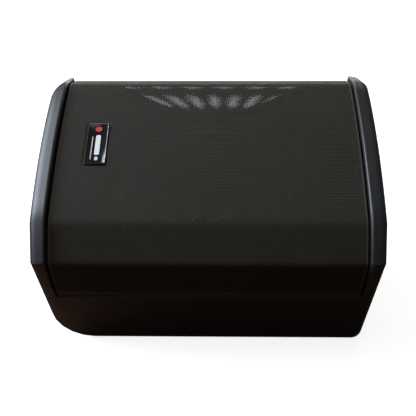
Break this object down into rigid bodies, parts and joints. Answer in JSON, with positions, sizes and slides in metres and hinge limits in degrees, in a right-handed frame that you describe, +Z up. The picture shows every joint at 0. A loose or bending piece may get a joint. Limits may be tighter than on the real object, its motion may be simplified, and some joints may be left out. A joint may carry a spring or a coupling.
{
  "type": "stage monitor wedge",
  "caption": "Wedge-shaped loudspeaker that lies on a stage floor: moulded cabinet with raised end rims, folded perforated steel grille over a coaxial driver, amplifier panel behind.",
  "frame": {"origin": "centre of the base, at floor level under the middle of the bounding box", "axes": "+X along the cabinet's length, the monitor's right as a listener in front sees it; +Z up; the grille faces -Y and up"},
  "size_m": [0.5244, 0.413, 0.3951],
  "materials": {
    "moulding": "fine grained black polypropylene moulding",
    "grille_paint": "black powder coat on perforated steel",
    "gloss_black": "gloss black",
    "rubber": "matte black rubber",
    "black_metal": "black anodised or painted metal",
    "bare_steel": "zinc plated steel",
    "paper": "coated paper pulp",
    "ferrite": "dark sintered ferrite and painted iron",
    "board_green": "green solder mask",
    "copper": "enamelled copper wire",
    "amber_cloth": "resin treated cotton",
    "lens_blue": "blue tinted clear lens",
    "knob_grey": "soft dark grey plastic"
  },
  "bodies": {
    "cabinet": {"amp_panel": "black_metal", "badge_plate": "gloss_black", "cabinet_shell": "moulding", "compression_driver": "ferrite", "control_board": "board_green", "end_foot_front": "rubber", "end_foot_rear": "rubber", "floor_foot_1": "rubber", "floor_foot_2": "rubber", "floor_foot_3": "rubber", "floor_foot_4": "rubber", "front_baffle": "moulding", "grille": "grille_paint", "grille_screw_1": "bare_steel", "grille_screw_2": "bare_steel", "grille_screw_3": "bare_steel", "handle_bar": "rubber", "handle_cup": "moulding", "heat_sink": "black_metal", "horn": "moulding", "input_socket_a": "black_metal", "input_socket_b": "black_metal", "link_socket": "black_metal", "magnet_back_plate": "bare_steel", "magnet_ring": "ferrite", "magnet_top_plate": "bare_steel", "mains_inlet": "gloss_black", "panel_screw_1": "bare_steel", "panel_screw_2": "bare_steel", "panel_screw_3": "bare_steel", "panel_screw_4": "bare_steel", "panel_screw_5": "bare_steel", "panel_screw_6": "bare_steel", "pole_socket": "moulding", "port_tube_left": "moulding", "port_tube_right": "moulding", "power_led": "lens_blue", "spider": "amber_cloth", "switch_housing": "gloss_black", "toroid_transformer": "copper", "woofer_basket": "black_metal", "woofer_bolt_1": "bare_steel", "woofer_bolt_2": "bare_steel", "woofer_bolt_3": "bare_steel", "woofer_bolt_4": "bare_steel", "woofer_gasket": "rubber", "woofer_surround": "rubber"},
    "knob_input_a": {"knob_input_a": "knob_grey"},
    "knob_input_b": {"knob_input_b": "knob_grey"},
    "knob_bass": {"knob_bass": "knob_grey"},
    "knob_treble": {"knob_treble": "knob_grey"},
    "power_rocker": {"power_rocker": "gloss_black"},
    "fuse_drawer": {"fuse_drawer": "gloss_black"},
    "input_latch_a": {"input_latch_a": "bare_steel"},
    "input_latch_b": {"input_latch_b": "bare_steel"},
    "woofer_moving": {"woofer_cone": "paper", "voice_coil_former": "copper"}
  },
  "joints": [
    {"name": "input_a_level", "type": "hinge", "parent": "cabinet", "child": "knob_input_a", "pos_m": [0.08085, 0.18708, 0.20492], "axis": [0, 0.9695, -0.2449], "range_deg": [-150, 150]},
    {"name": "input_b_level", "type": "hinge", "parent": "cabinet", "child": "knob_input_b", "pos_m": [0.03585, 0.18708, 0.20492], "axis": [0, 0.9695, -0.2449], "range_deg": [-150, 150]},
    {"name": "bass_control", "type": "hinge", "parent": "cabinet", "child": "knob_bass", "pos_m": [-0.00915, 0.18708, 0.20492], "axis": [0, 0.9695, -0.2449], "range_deg": [-150, 150]},
    {"name": "treble_control", "type": "hinge", "parent": "cabinet", "child": "knob_treble", "pos_m": [-0.04915, 0.18708, 0.20492], "axis": [0, 0.9695, -0.2449], "range_deg": [-150, 150]},
    {"name": "power_switch", "type": "hinge", "parent": "cabinet", "child": "power_rocker", "pos_m": [-0.09115, 0.1844, 0.17878], "axis": [1, 0, 0], "range_deg": [0, 16]},
    {"name": "fuse_drawer_slide", "type": "slide", "parent": "cabinet", "child": "fuse_drawer", "axis": [0, 0.9695, -0.2449], "range_m": [0, 0.014]},
    {"name": "latch_a_press", "type": "slide", "parent": "cabinet", "child": "input_latch_a", "axis": [0, -0.9695, 0.2449], "range_m": [0, 0.002], "stiffness_N_per_m": 300},
    {"name": "latch_b_press", "type": "slide", "parent": "cabinet", "child": "input_latch_b", "axis": [0, -0.9695, 0.2449], "range_m": [0, 0.002], "stiffness_N_per_m": 300},
    {"name": "cone_travel", "type": "slide", "parent": "cabinet", "child": "woofer_moving", "axis": [0, -0.4772, 0.8788], "range_m": [-0.004, 0.004], "stiffness_N_per_m": 3000, "deforming": ["woofer_surround", "spider"]}
  ]
}
